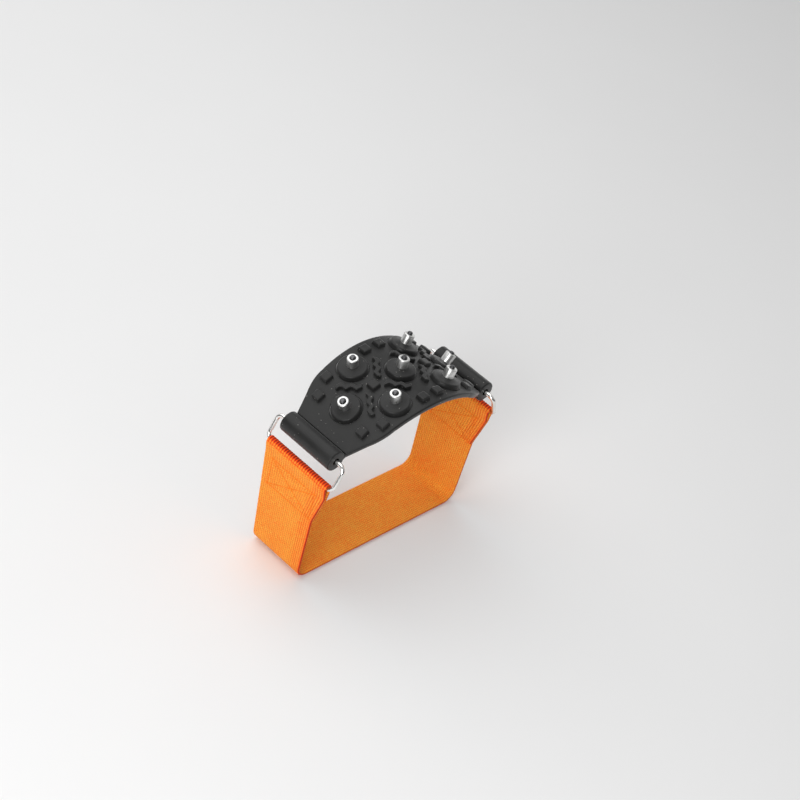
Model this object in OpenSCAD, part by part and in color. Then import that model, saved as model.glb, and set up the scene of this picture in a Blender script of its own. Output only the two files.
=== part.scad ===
// Instep crampon: a bent rubber pad with seven studs, held round the foot by an elastic strap.
// X runs towards the toe and along every hinge, Y runs across the foot, Z is up.
// The origin lies under the middle of the strap, on the surface that the strap rests on.

/* [Pad] */
// Widest size of the pad along X
pad_w = 57; // [52:0.5:62]
// Thickness of the pad between bosses
pad_t = 3.2; // [2.6:0.1:4]
// Height of the middle of the pad's outer face above the ground
pad_h = 106; // [100:1:116]
// Radius that the outer face is bent to
bend_r = 66; // [60:1:76]
// Angle from the middle of the bend to each straight flank
bend_angle = 34.5; // [30:0.5:38]
// Radius of the two long edges in plan
edge_r = 330; // [240:10:500]
// Radius of the four shoulders in plan
shoulder_r = 24; // [22:0.5:26]
// Distance of the shoulder centres from the middle, across the foot
shoulder_y = 29.3; // [27:0.1:31]
// Run from the middle to where the tapered neck reaches the sleeve's length
neck_run = 58; // [56:0.5:60]
// Angle on the shoulder from where the neck's side would just touch it to where it runs in
neck_bite = 6; // [4:1:12]

/* [Sleeves] */
// Distance of each sleeve from the middle, measured along the outer face
sleeve_run = 63.5; // [60:0.5:68]
// Height of the sleeve's axis above the outer face
sleeve_rise = 1.2; // [0.6:0.1:2]
// Outside diameter of a sleeve
sleeve_d = 11.8; // [10.5:0.1:13]
// Bore of a sleeve, open at both ends
sleeve_bore = 4.2; // [4:0.1:5]
// Length of a sleeve, which is also the width of the pad's ends
sleeve_len = 36.6; // [33:0.2:40]

/* [Bosses and studs] */
// Distance between stud rows, measured along the outer face
row_step = 19.5; // [18.6:0.1:19.8]
// Distance of the paired studs from the middle line
pair_x = 16; // [14.5:0.5:17]
// Diameter of a rubber boss
boss_d = 17.4; // [16:0.2:18]
// Height of the boss's side wall
boss_wall = 2.2; // [1.6:0.1:3]
// Rise of the boss's top from its rim to the stud
boss_crown = 1.1; // [0.6:0.1:1.8]
// Rounding of the boss's rim
boss_round = 1.4; // [0.6:0.1:1.4]
// Outside diameter of the steel stud
stud_d = 6.2; // [5.6:0.1:6.8]
// Length of stud above the boss
stud_out = 5.3; // [4:0.1:7]
// Chamfer on the stud's outer rim
stud_chamfer = 0.5; // [0.2:0.1:0.8]
// Diameter of the stud's flange, let into the back of the pad
flange_d = 12; // [10:0.5:14]
// Thickness of the flange
flange_t = 1.2; // [0.8:0.1:1.6]
// Diameter of the carbide pin
tip_d = 2.8; // [2.2:0.1:3.2]
// Length of carbide pin above the stud
tip_out = 1.3; // [0.8:0.1:1.8]
// Depth that the carbide pin is pressed into the stud
tip_deep = 4; // [3:0.5:6]
// Rounding of the carbide pin's end
tip_round = 0.7; // [0.4:0.1:0.9]
// Width of the countersink round the carbide pin
seat_rim = 0.5; // [0.3:0.1:0.8]
// Depth of the countersink
seat_deep = 0.5; // [0.2:0.1:1]
// Clearance all round a pressed piece
press_gap = 0.03; // [0.02:0.01:0.05]

/* [Tread] */
// Side of a square lug
lug_w = 5.6; // [4.6:0.2:6.2]
// Height of a lug above the face
lug_h = 2; // [1.4:0.1:2.6]
// Distance of the edge lugs' middles from the widest edge of the pad
lug_edge = 6.5; // [5.5:0.5:8]
// Run from the middle to the first edge lug, and how far it is drawn in
lug_1 = [5.3, 0]; // [0:0.1:20]
// Run from the middle to the second edge lug, and how far it is drawn in
lug_2 = [33, 0.7]; // [0:0.1:50]
// Run from the middle to the third edge lug, and how far it is drawn in
lug_3 = [43.3, 5.5]; // [0:0.1:50]
// Length of a wavy ridge between two bosses
wave_len = 14; // [11:0.5:15]
// Width of a wavy ridge
wave_w = 2.6; // [2:0.1:3.2]
// Sideways swing of a wavy ridge
wave_swing = 0.7; // [0.3:0.1:1]
// Length of one wave
wave_pitch = 5.4; // [4.6:0.2:7]
// Height of a wavy ridge above the face
wave_h = 1.8; // [1.2:0.1:2.4]

/* [Rings] */
// Thickness of the ring wire
wire_d = 2.5; // [2.2:0.1:2.8]
// Distance between the two long bars of a ring
ring_link = 14.5; // [13:0.5:17]
// Lean of a ring, inwards from its strap bar to its sleeve bar
ring_lean = 22; // [16:1:28]
// Gap between the strap's edge and the ring's leg
ring_side_gap = 1; // [0.6:0.1:2]
// Bend radius of the ring's corners, at the middle of the wire
ring_corner_r = 3.5; // [3:0.1:4]

/* [Strap] */
// Width of the webbing at the folds
strap_w = 45; // [41:0.5:48]
// Width of the webbing where it is drawn narrow under the foot
strap_neck_w = 36; // [30:0.5:40]
// Thickness of one layer of webbing
strap_t = 1.8; // [1.6:0.1:2.4]
// Outside width of the strap at the ground
strap_base_w = 124.6; // [116:0.2:128]
// Outside radius of the strap's lower corners
strap_corner_r = 8; // [5:0.5:14]
// Length of webbing folded back inside, from the ring's bar
hem_len = 26; // [20:0.5:32]
// Length over which the two layers close up below the bar
fold_taper = 7; // [5:0.5:9]
// Clearance round the ring's bar in the fold
fold_gap = 0.3; // [0.25:0.05:0.6]
// Width of a sewn row of thread
thread_w = 0.8; // [0.6:0.1:1.2]
// Height of the thread above the webbing
thread_h = 0.3; // [0.2:0.1:0.5]
// Width of the sewn box
seam_w = 32; // [26:0.5:38]
// Distance of the sewn box from the fold and from the end of the hem
seam_margin = 1; // [0.5:0.1:2]

/* [Hidden] */
NEAR = -1;
FAR = 1;
ROUND_FN = 96;
SMALL_FN = 48;
LONG_FN = 360;
WAVE_STEPS = 16;
// Overlap that lets joined shapes share volume, and overshoot of cutting shapes
weld = 0.8;
past = 1;

// The bend of the outer face: a run along it from the middle gives a slope, a place and a height
arc_run = bend_r * bend_angle * PI / 180;
function arc_part(run) = sign(run) * min(abs(run), arc_run);
function slope(run) = arc_part(run) / bend_r * 180 / PI;
function flank_part(run) = abs(run) - abs(arc_part(run));
function face_y(run) = bend_r * sin(slope(run)) + sign(run) * flank_part(run) * cos(slope(run));
function face_z(run) =
    pad_h - bend_r * (1 - cos(slope(run))) - flank_part(run) * sin(abs(slope(run)));

// Hinge axes of the rings: one in the pad's sleeve and one in the strap's fold
sleeve_y = face_y(sleeve_run) + sleeve_rise * sin(bend_angle);
sleeve_z = face_z(sleeve_run) + sleeve_rise * cos(bend_angle);
bar_y = sleeve_y + ring_link * sin(ring_lean);
bar_z = sleeve_z - ring_link * cos(ring_lean);

// Seven studs in rows of one, two, one, two and one: place along X and run along the face
STUDS = [
    [-pair_x, -row_step],
    [0, 0],
    [0, -2 * row_step],
    [pair_x, -row_step],
    [-pair_x, row_step],
    [0, 2 * row_step],
    [pair_x, row_step]
];
STUD_IDS = [for (i = [1:len(STUDS)]) i];
boss_h = boss_wall + boss_crown;
stud_top = boss_h + stud_out;

// Lugs: three pairs along each long edge, drawn in towards the shoulders, and two in the middle
LUGS = concat(
    [for (side = [-1, 1], end = [NEAR, FAR], row = [lug_1, lug_2, lug_3])
        [side * (pad_w / 2 - lug_edge - row.y), end * row.x]],
    [for (end = [NEAR, FAR]) [0, end * row_step]]
);
// Wavy ridges: one between each two neighbouring bosses, across the line that joins them
WAVES = [for (side = [-1, 1], end = [NEAR, FAR], part = [1, 3])
    [side * pair_x / 2, end * part * row_step / 2, side * end * (part == 1 ? 1 : -1)]];
wave_turn = atan2(row_step, pair_x) - 90;

// The ring fits over the strap's width
wire_r = wire_d / 2;
ring_x = strap_w / 2 + ring_side_gap + wire_r;

// The strap's side leans so that its inner layer line meets the ring's bar
fold_bore_r = wire_r + fold_gap;
fold_r = fold_bore_r + strap_t;
side_dy = strap_base_w / 2 - bar_y;
side_lean = asin(strap_t / norm([side_dy, bar_z])) - atan2(side_dy, bar_z);
corner_y = strap_base_w / 2 - strap_corner_r * (1 - sin(side_lean)) / cos(side_lean);
neck_z = strap_corner_r;

// Places children on the outer face: x along X, run across the foot, with +Z as the face's normal
module on_face(x, run) {
    translate([x, face_y(run), face_z(run)])
        rotate([-slope(run), 0, 0])
            children();
}

// Turns a Y-Z outline into a prism along X
module along_x(length) {
    rotate([90, 0, 90])
        translate([0, 0, -length / 2])
            linear_extrude(length)
                children();
}

// A round bar along X
module bar_x(length, diameter) {
    rotate([0, 90, 0])
        cylinder(h = length, d = diameter, center = true, $fn = ROUND_FN);
}

// Pad: the bent sheet, its plan outline and what is moulded on it
module sheet_section() {
    intersection() {
        translate([0, pad_h - bend_r])
            difference() {
                circle(r = bend_r, $fn = ROUND_FN);
                circle(r = bend_r - pad_t, $fn = ROUND_FN);
            }
        translate([0, pad_h - bend_r])
            polygon([
                [0, 0],
                [2 * bend_r * sin(bend_angle), 2 * bend_r * cos(bend_angle)],
                [-2 * bend_r * sin(bend_angle), 2 * bend_r * cos(bend_angle)]
            ]);
    }
    for (end = [NEAR, FAR])
        translate([face_y(end * arc_run), face_z(end * arc_run)])
            rotate(-end * bend_angle)
                translate([end < 0 ? -(sleeve_run - arc_run) : 0, -pad_t])
                    square([sleeve_run - arc_run, pad_t]);
}

module pad_plan() {
    shoulder_x = pad_w / 2 - edge_r + sqrt(pow(edge_r - shoulder_r, 2) - pow(shoulder_y, 2));
    // The neck's straight sides run from the sleeve's ends into the shoulders and end inside them
    neck_y = face_y(neck_run);
    neck_end = [sleeve_len / 2, neck_y];
    to_neck = neck_end - [shoulder_x, shoulder_y];
    meet_angle = atan2(to_neck.y, to_neck.x) - acos(shoulder_r / norm(to_neck)) + neck_bite;
    meet = [shoulder_x + shoulder_r * cos(meet_angle), shoulder_y + shoulder_r * sin(meet_angle)];
    root = meet + (meet - neck_end) / 2;
    intersection() {
        translate([pad_w / 2 - edge_r, 0])
            circle(r = edge_r, $fn = LONG_FN);
        translate([edge_r - pad_w / 2, 0])
            circle(r = edge_r, $fn = LONG_FN);
        union() {
            square([2 * pad_w, 2 * shoulder_y], center = true);
            square([sleeve_len, 2 * sleeve_y], center = true);
            for (end = [NEAR, FAR])
                polygon([
                    [-root.x, end * root.y],
                    [root.x, end * root.y],
                    [neck_end.x, end * neck_end.y],
                    [-neck_end.x, end * neck_end.y]
                ]);
            for (side = [-1, 1], end = [NEAR, FAR])
                translate([side * shoulder_x, end * shoulder_y])
                    circle(r = shoulder_r, $fn = ROUND_FN);
        }
    }
}

module boss() {
    rim_r = boss_d / 2;
    translate([0, 0, -weld])
        rotate_extrude($fn = ROUND_FN)
            union() {
                polygon([
                    [0, 0],
                    [rim_r, 0],
                    [rim_r, weld + boss_wall - boss_round],
                    [rim_r - boss_round, weld + boss_wall],
                    [stud_d / 2, weld + boss_h],
                    [0, weld + boss_h]
                ]);
                translate([rim_r - boss_round, weld + boss_wall - boss_round])
                    circle(r = boss_round, $fn = SMALL_FN);
            }
}

module lug() {
    translate([-lug_w / 2, -lug_w / 2, -weld])
        cube([lug_w, lug_w, weld + lug_h]);
}

module wave_ridge() {
    function along(i) = (i / WAVE_STEPS - 0.5) * wave_len;
    function wave_at(i) = wave_swing * sin(360 * along(i) / wave_pitch);
    translate([0, 0, -weld])
        linear_extrude(weld + wave_h)
            polygon(concat(
                [for (i = [0:WAVE_STEPS]) [along(i), wave_at(i) - wave_w / 2]],
                [for (i = [WAVE_STEPS:-1:0]) [along(i), wave_at(i) + wave_w / 2]]
            ));
}

module stud_hole() {
    translate([0, 0, -pad_t - past])
        cylinder(h = pad_t + boss_h + 2 * past, d = stud_d + 2 * press_gap, $fn = ROUND_FN);
    translate([0, 0, -pad_t - past])
        cylinder(h = flange_t + past, d = flange_d + 2 * press_gap, $fn = ROUND_FN);
}

module pad() {
    color("#3c3c3a")
        difference() {
            union() {
                intersection() {
                    along_x(pad_w)
                        sheet_section();
                    linear_extrude(2 * pad_h)
                        pad_plan();
                }
                for (end = [NEAR, FAR])
                    translate([0, end * sleeve_y, sleeve_z])
                        bar_x(sleeve_len, sleeve_d);
                for (place = STUDS)
                    on_face(place.x, place.y)
                        boss();
                for (place = LUGS)
                    on_face(place.x, place.y)
                        lug();
                for (place = WAVES)
                    on_face(place.x, place.y)
                        rotate(place.z * wave_turn)
                            wave_ridge();
            }
            for (end = [NEAR, FAR])
                translate([0, end * sleeve_y, sleeve_z])
                    bar_x(sleeve_len + 2 * past, sleeve_bore);
            for (place = STUDS)
                on_face(place.x, place.y)
                    stud_hole();
        }
}

// Stud: a steel jacket with a flange at its foot and a drilled seat for the pin
module stud(place) {
    rim_r = stud_d / 2;
    seat_r = tip_d / 2 + press_gap;
    color("#c9cccf")
        on_face(place.x, place.y)
            rotate_extrude($fn = ROUND_FN)
                polygon([
                    [0, -pad_t],
                    [flange_d / 2, -pad_t],
                    [flange_d / 2, flange_t - pad_t],
                    [rim_r, flange_t - pad_t],
                    [rim_r, stud_top - stud_chamfer],
                    [rim_r - stud_chamfer, stud_top],
                    [seat_r + seat_rim, stud_top],
                    [seat_r, stud_top - seat_deep],
                    [seat_r, stud_top - tip_deep],
                    [0, stud_top - tip_deep]
                ]);
}

// Carbide pin: a plain rod with a rounded end
module carbide_tip(place) {
    pin_r = tip_d / 2;
    color("#55575a")
        on_face(place.x, place.y)
            translate([0, 0, stud_top - tip_deep])
                rotate_extrude($fn = ROUND_FN)
                    union() {
                        square([pin_r, tip_deep + tip_out - tip_round]);
                        square([pin_r - tip_round, tip_deep + tip_out]);
                        translate([pin_r - tip_round, tip_deep + tip_out - tip_round])
                            intersection() {
                                circle(r = tip_round, $fn = SMALL_FN);
                                square(tip_round);
                            }
                    }
}

// Ring: a rounded rectangle of bent wire, drawn with its strap bar at the origin
module wire_ring() {
    long_half = ring_x - ring_corner_r;
    for (height = [0, ring_link])
        translate([0, 0, height])
            bar_x(2 * long_half, wire_d);
    for (side = [-1, 1])
        translate([side * ring_x, 0, ring_corner_r])
            cylinder(h = ring_link - 2 * ring_corner_r, d = wire_d, $fn = ROUND_FN);
    for (quarter = [
        [long_half, ring_link - ring_corner_r, 0],
        [-long_half, ring_link - ring_corner_r, 90],
        [-long_half, ring_corner_r, 180],
        [long_half, ring_corner_r, 270]
    ])
        translate([quarter.x, 0, quarter.y])
            rotate([90, 0, 0])
                rotate(quarter.z)
                    rotate_extrude(angle = 90, $fn = ROUND_FN)
                        translate([ring_corner_r, 0])
                            circle(d = wire_d, $fn = SMALL_FN);
}

module ring(end) {
    color("#d8dadc")
        translate([0, end * bar_y, bar_z])
            rotate([end * ring_lean, 0, 0])
                wire_ring();
}

// Strap: one band of webbing, narrowed under the foot, with each end folded over a ring's bar
module band_fill(inset) {
    radius = strap_corner_r - inset;
    touch_y = corner_y + radius * cos(side_lean);
    touch_z = strap_corner_r - radius * sin(side_lean);
    top_y = bar_y + (strap_t - inset) * cos(side_lean);
    top_z = bar_z - (strap_t - inset) * sin(side_lean);
    polygon([
        [-corner_y, inset],
        [corner_y, inset],
        [touch_y, touch_z],
        [top_y, top_z],
        [-top_y, top_z],
        [-touch_y, touch_z]
    ]);
    for (end = [NEAR, FAR])
        translate([end * corner_y, strap_corner_r])
            circle(r = radius, $fn = ROUND_FN);
}

// Puts a Y-Z outline on the line between the two layers of an end, with the bar at its origin
module at_fold(end) {
    translate([end * bar_y, bar_z])
        mirror([end < 0 ? 1 : 0, 0])
            rotate(-side_lean)
                children();
}

module fold_section() {
    circle(r = fold_r, $fn = ROUND_FN);
    polygon([
        [-fold_r, 0],
        [-strap_t, -fold_taper],
        [-strap_t, -hem_len],
        [strap_t, -hem_len],
        [strap_t, -fold_taper],
        [fold_r, 0]
    ]);
}

module strap_section() {
    difference() {
        union() {
            difference() {
                band_fill(0);
                band_fill(strap_t);
            }
            for (end = [NEAR, FAR])
                at_fold(end)
                    fold_section();
        }
        for (end = [NEAR, FAR])
            at_fold(end)
                circle(r = fold_bore_r, $fn = ROUND_FN);
    }
}

// Outline of the strap seen from the side: drawn in along the hem at the toe, and evenly at the heel
module strap_silhouette() {
    full_z = bar_z - fold_taper;
    hem_z = bar_z - hem_len;
    full = strap_w / 2;
    neck = strap_neck_w / 2;
    polygon([
        [-full, bar_z + 2 * fold_r],
        [-full, full_z],
        [-neck, neck_z],
        [-neck, -past],
        [neck, -past],
        [neck, hem_z],
        [full, full_z],
        [full, bar_z + 2 * fold_r]
    ]);
}

module strap() {
    color("#f5791f")
        intersection() {
            along_x(strap_w)
                strap_section();
            rotate([90, 0, 0])
                translate([0, 0, -strap_base_w])
                    linear_extrude(2 * strap_base_w)
                        strap_silhouette();
        }
}

// Seam: thread on both faces of a folded end, as a box with two diagonals
module seam_rows(width, height) {
    reach = norm([width, height]);
    difference() {
        square([width + thread_w, height + thread_w], center = true);
        square([width - thread_w, height - thread_w], center = true);
    }
    for (turn = [-1, 1])
        rotate(turn * atan2(height, width))
            square([reach - thread_w, thread_w], center = true);
}

module seam(end) {
    seam_h = hem_len - fold_taper - 2 * seam_margin;
    middle = (hem_len + fold_taper) / 2;
    color("#ff8a2a")
        translate([0, end * bar_y, bar_z])
            rotate([-end * side_lean, 0, 0])
                for (face = [-1, 1])
                    translate([0, face * (strap_t + thread_h / 2), -middle])
                        rotate([90, 0, 0])
                            linear_extrude(thread_h, center = true)
                                seam_rows(seam_w, seam_h);
}

pad();
ring(NEAR);  // near_ring
ring(FAR);  // far_ring
strap();
seam(NEAR);  // near_seam
seam(FAR);  // far_seam
for (i = STUD_IDS) {
    stud(STUDS[i - 1]);
    carbide_tip(STUDS[i - 1]);
}
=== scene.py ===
# %% [markdown]
# # Instep crampon
# A bent rubber pad carries seven steel studs over the instep. A wire ring hangs in a sleeve at each
# end of the pad, and an elastic strap, folded over both rings, goes under the foot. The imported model
# is loaded first, because it fixes every size, place and joint. The pieces below are then dressed
# around it, in metres and in the same frame: X towards the toe, Y across the foot, Z up.

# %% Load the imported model
import math

import bmesh
import bpy
import numpy as np
from mathutils import Matrix, Vector


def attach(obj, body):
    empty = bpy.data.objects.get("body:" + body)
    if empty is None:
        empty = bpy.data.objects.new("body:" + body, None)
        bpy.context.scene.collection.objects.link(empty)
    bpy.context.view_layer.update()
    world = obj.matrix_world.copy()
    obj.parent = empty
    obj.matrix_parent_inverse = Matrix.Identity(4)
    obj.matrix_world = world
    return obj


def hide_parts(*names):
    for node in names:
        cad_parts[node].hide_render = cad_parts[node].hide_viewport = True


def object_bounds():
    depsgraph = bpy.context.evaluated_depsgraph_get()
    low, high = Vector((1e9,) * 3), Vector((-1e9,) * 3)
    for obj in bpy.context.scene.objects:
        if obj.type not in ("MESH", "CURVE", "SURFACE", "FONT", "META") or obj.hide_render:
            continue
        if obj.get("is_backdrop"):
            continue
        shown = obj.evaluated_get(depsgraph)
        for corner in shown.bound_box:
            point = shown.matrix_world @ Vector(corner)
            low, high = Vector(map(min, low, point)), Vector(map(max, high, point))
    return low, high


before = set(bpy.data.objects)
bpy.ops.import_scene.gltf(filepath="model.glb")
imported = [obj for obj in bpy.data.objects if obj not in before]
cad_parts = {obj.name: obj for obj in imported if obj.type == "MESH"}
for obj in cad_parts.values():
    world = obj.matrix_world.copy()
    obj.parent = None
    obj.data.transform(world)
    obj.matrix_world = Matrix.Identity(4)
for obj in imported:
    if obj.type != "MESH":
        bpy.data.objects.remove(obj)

cad_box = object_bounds()
MM = 0.001
scene = bpy.context.scene

# %% [markdown]
# ## Camera
# The photograph looks down on the pad from the toe's side, with the frame turned a little. A long
# lens from about a metre gives the same mild perspective. The camera's three axes come from an
# azimuth, an elevation and a roll, so each can be corrected by itself.

# %% Camera
VIEW_AZIMUTH = math.radians(33.97)
VIEW_ELEVATION = math.radians(36.9)
VIEW_ROLL = math.radians(17.43)
VIEW_DISTANCE = 1025.7 * MM
VIEW_OFFSET = (-0.2 * MM, -15.28 * MM)
VIEW_FOCAL_PX = 1967.3
VIEW_CLIP = 50 * MM
IMAGE_PX = 800
SENSOR = 36
PAD_TOP = 106 * MM

back = Vector((
    math.sin(VIEW_AZIMUTH) * math.cos(VIEW_ELEVATION),
    -math.cos(VIEW_AZIMUTH) * math.cos(VIEW_ELEVATION),
    math.sin(VIEW_ELEVATION),
))
level = Vector((math.cos(VIEW_AZIMUTH), math.sin(VIEW_AZIMUTH), 0))
upright = back.cross(level)
right = math.cos(VIEW_ROLL) * level + math.sin(VIEW_ROLL) * upright
up = back.cross(right)
eye = Vector((0, 0, PAD_TOP)) + VIEW_OFFSET[0] * right + VIEW_OFFSET[1] * up + VIEW_DISTANCE * back

camera_data = bpy.data.cameras.new("camera")
camera_data.sensor_width = SENSOR
camera_data.lens = VIEW_FOCAL_PX / IMAGE_PX * SENSOR
camera_data.clip_start = VIEW_CLIP
camera = bpy.data.objects.new("camera", camera_data)
camera.matrix_world = Matrix((
    (right.x, up.x, back.x, eye.x),
    (right.y, up.y, back.y, eye.y),
    (right.z, up.z, back.z, eye.z),
    (0, 0, 0, 1),
))
scene.collection.objects.link(camera)
scene.camera = camera
print("lens %.1f mm, %.0f mm away" % (camera_data.lens, VIEW_DISTANCE / MM))

# %% [markdown]
# ## Helpers for node trees
# Shader and geometry trees are built the same way here: add a node, give each input a number or
# a link. One small function does both, so that the later cells show the idea and not the wiring.

# %% Helpers for node trees
def wire(tree, socket, value):
    """Sets an input to a plain value, or links another node's output to it."""
    if isinstance(value, bpy.types.NodeSocket):
        tree.links.new(value, socket)
    else:
        socket.default_value = value


def add(tree, kind, inputs=None, **settings):
    """Adds a node, with its settings and its inputs by name or number."""
    node = tree.nodes.new(kind)
    for key, value in settings.items():
        setattr(node, key, value)
    for key, value in (inputs or {}).items():
        wire(tree, node.inputs[key], value)
    return node


def calc(tree, operation, *values):
    """One step of arithmetic, as a Math node."""
    node = add(tree, "ShaderNodeMath", operation=operation)
    for index, value in enumerate(values):
        wire(tree, node.inputs[index], value)
    return node.outputs[0]


def group_sockets(tree, inputs, outputs):
    """Names a group's sockets: (name, type, default) for inputs, (name, type) for outputs."""
    for name, kind, default in inputs:
        socket = tree.interface.new_socket(name, in_out="INPUT", socket_type=kind)
        if default is not None:
            socket.default_value = default
    for name, kind in outputs:
        tree.interface.new_socket(name, in_out="OUTPUT", socket_type=kind)
    return tree.nodes.new("NodeGroupInput").outputs, tree.nodes.new("NodeGroupOutput").inputs


# %% [markdown]
# ## Shared surface effects
# Every finish on this object has a fine grain and broad, faint patches where it has been handled.
# Both come from noise, so they are one shader group, placed in each material with its own scale.
# The group gives plain values only: a height for bump and a mask for colour and roughness.

# %% Shader group: grain and handling
FLOAT = "NodeSocketFloat"


def make_grain_group():
    tree = bpy.data.node_groups.new("grain_and_handling", "ShaderNodeTree")
    given, result = group_sockets(
        tree,
        [("Grain per metre", FLOAT, 3000.0), ("Patches per metre", FLOAT, 60.0)],
        [("Grain", FLOAT), ("Patches", FLOAT)],
    )
    place = add(tree, "ShaderNodeTexCoord").outputs["Object"]
    grain = add(tree, "ShaderNodeTexNoise", {
        "Vector": place, "Scale": given["Grain per metre"], "Detail": 3.0, "Roughness": 0.6})
    patches = add(tree, "ShaderNodeTexNoise", {
        "Vector": place, "Scale": given["Patches per metre"], "Detail": 4.0, "Roughness": 0.55})
    wire(tree, result["Grain"], grain.outputs["Fac"])
    wire(tree, result["Patches"], patches.outputs["Fac"])
    return tree


grain_group = make_grain_group()

# %% Helpers for materials
NOISE_SPAN = (0.35, 0.65)
WIDE_SPAN = (0.3, 0.7)


def start_material(name, **principled):
    """A new material: its tree, its shader and the constants set on the shader itself."""
    material = bpy.data.materials.new(name)
    material.use_nodes = True
    tree = material.node_tree
    shader = tree.nodes["Principled BSDF"]
    for key, value in principled.items():
        shader.inputs[key.replace("_", " ")].default_value = value
    return material, tree, shader


def use_grain(tree, grain_per_metre, patches_per_metre):
    node = add(tree, "ShaderNodeGroup", node_tree=grain_group)
    node.inputs["Grain per metre"].default_value = grain_per_metre
    node.inputs["Patches per metre"].default_value = patches_per_metre
    return node.outputs["Grain"], node.outputs["Patches"]


def mix_colors(tree, fac, dark, light):
    node = add(tree, "ShaderNodeMix", data_type="RGBA")
    wire(tree, node.inputs["Factor"], fac)
    wire(tree, node.inputs[6], dark)
    wire(tree, node.inputs[7], light)
    return node.outputs[2]


def spread(tree, value, low, high, to_low=0.0, to_high=1.0):
    """Stretches the values from low to high over another range."""
    node = add(tree, "ShaderNodeMapRange", {
        "Value": value, "From Min": low, "From Max": high, "To Min": to_low, "To Max": to_high})
    return node.outputs[0]


def bump(tree, shader, height, distance, strength):
    node = add(tree, "ShaderNodeBump", {"Height": height, "Distance": distance, "Strength": strength})
    wire(tree, shader.inputs["Normal"], node.outputs["Normal"])


print("shader groups:", [g.name for g in bpy.data.node_groups])

# %% [markdown]
# ## Rubber
# Black moulded rubber is a very dark grey with a dull, slightly uneven surface. A few pale specks of
# dust cling to it, and a bloom lightens it where it is seen edge on, as sheen. The specks are the
# centres of scattered Voronoi cells, of which half are left out. The cells fill space, so a speck
# stays round on every face, and only those near the skin show.

# %% Rubber
SPECKS_PER_METRE = 560.0
SPECK_REACH = 0.16
SPECK_COVER = 0.75
SPECK_COLOR = (0.30, 0.29, 0.27, 1)
RUBBER_DARK = (0.016, 0.016, 0.0157, 1)
RUBBER_LIGHT = (0.022, 0.022, 0.0215, 1)
RUBBER_ROUGH = (0.33, 0.43)


def make_rubber():
    material, tree, shader = start_material(
        "moulded_rubber", Specular_IOR_Level=0.25, Sheen_Weight=0.24, Sheen_Roughness=0.35)
    grain, patches = use_grain(tree, grain_per_metre=2200.0, patches_per_metre=70.0)
    place = add(tree, "ShaderNodeTexCoord").outputs["Object"]
    cells = add(tree, "ShaderNodeTexVoronoi", {"Vector": place, "Scale": SPECKS_PER_METRE})
    size = add(tree, "ShaderNodeSeparateColor", {"Color": cells.outputs["Color"]}).outputs["Red"]
    reach = spread(tree, size, 0.5, 1.0, 0.0, SPECK_REACH)
    speck = calc(tree, "LESS_THAN", cells.outputs["Distance"], reach)
    body = mix_colors(tree, spread(tree, patches, *NOISE_SPAN), RUBBER_DARK, RUBBER_LIGHT)
    color = mix_colors(tree, calc(tree, "MULTIPLY", speck, SPECK_COVER), body, SPECK_COLOR)
    wire(tree, shader.inputs["Base Color"], color)
    wire(tree, shader.inputs["Roughness"], spread(tree, patches, *WIDE_SPAN, *RUBBER_ROUGH))
    bump(tree, shader, grain, distance=0.05 * MM, strength=0.5)
    return material


rubber = make_rubber()

# %% [markdown]
# ## Metals
# Three metals show. The rings are bright nickel plate, the stud jackets are turned steel, and the
# pins are grey carbide. They share one recipe: a metallic shader whose tone varies with the handling
# patches and whose roughness varies with a very fine grain, which also feeds the bump.

# %% Metals
def make_metal(name, dark, light, rough, grain_per_metre):
    material, tree, shader = start_material(name, Metallic=1.0)
    grain, patches = use_grain(tree, grain_per_metre, patches_per_metre=180.0)
    tone = spread(tree, patches, *NOISE_SPAN)
    wire(tree, shader.inputs["Base Color"], mix_colors(tree, tone, dark, light))
    wire(tree, shader.inputs["Roughness"], spread(tree, grain, *WIDE_SPAN, *rough))
    bump(tree, shader, grain, distance=0.003 * MM, strength=0.3)
    return material


nickel = make_metal(
    "nickel_plate", dark=(0.80, 0.79, 0.77, 1), light=(0.92, 0.91, 0.89, 1),
    rough=(0.12, 0.24), grain_per_metre=2500.0)
steel = make_metal(
    "turned_steel", dark=(0.66, 0.66, 0.65, 1), light=(0.80, 0.80, 0.79, 1),
    rough=(0.32, 0.40), grain_per_metre=4000.0)
carbide = make_metal(
    "grey_carbide", dark=(0.07, 0.07, 0.073, 1), light=(0.15, 0.15, 0.155, 1),
    rough=(0.30, 0.45), grain_per_metre=5000.0)
print("metals:", nickel.name, steel.name, carbide.name)

# %% [markdown]
# ## Woven elastic
# The strap is woven over twenty-eight rubber cords. Along each cord the weft makes a row of small
# raised stitches, and neighbouring rows are half a stitch apart, which gives the bird's-eye look. The
# strap's own UV map counts cords across and stitches along, so the weave follows every fold. The
# pattern is a group of its own, which keeps the material short: it gives a height and a gap.

# %% Shader group: staggered stitches
CORDS = 28
STITCH_STEP = 1.3
STITCH_CROWN = 1.25
STITCH_GAP = (0.7, 1.5)


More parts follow.
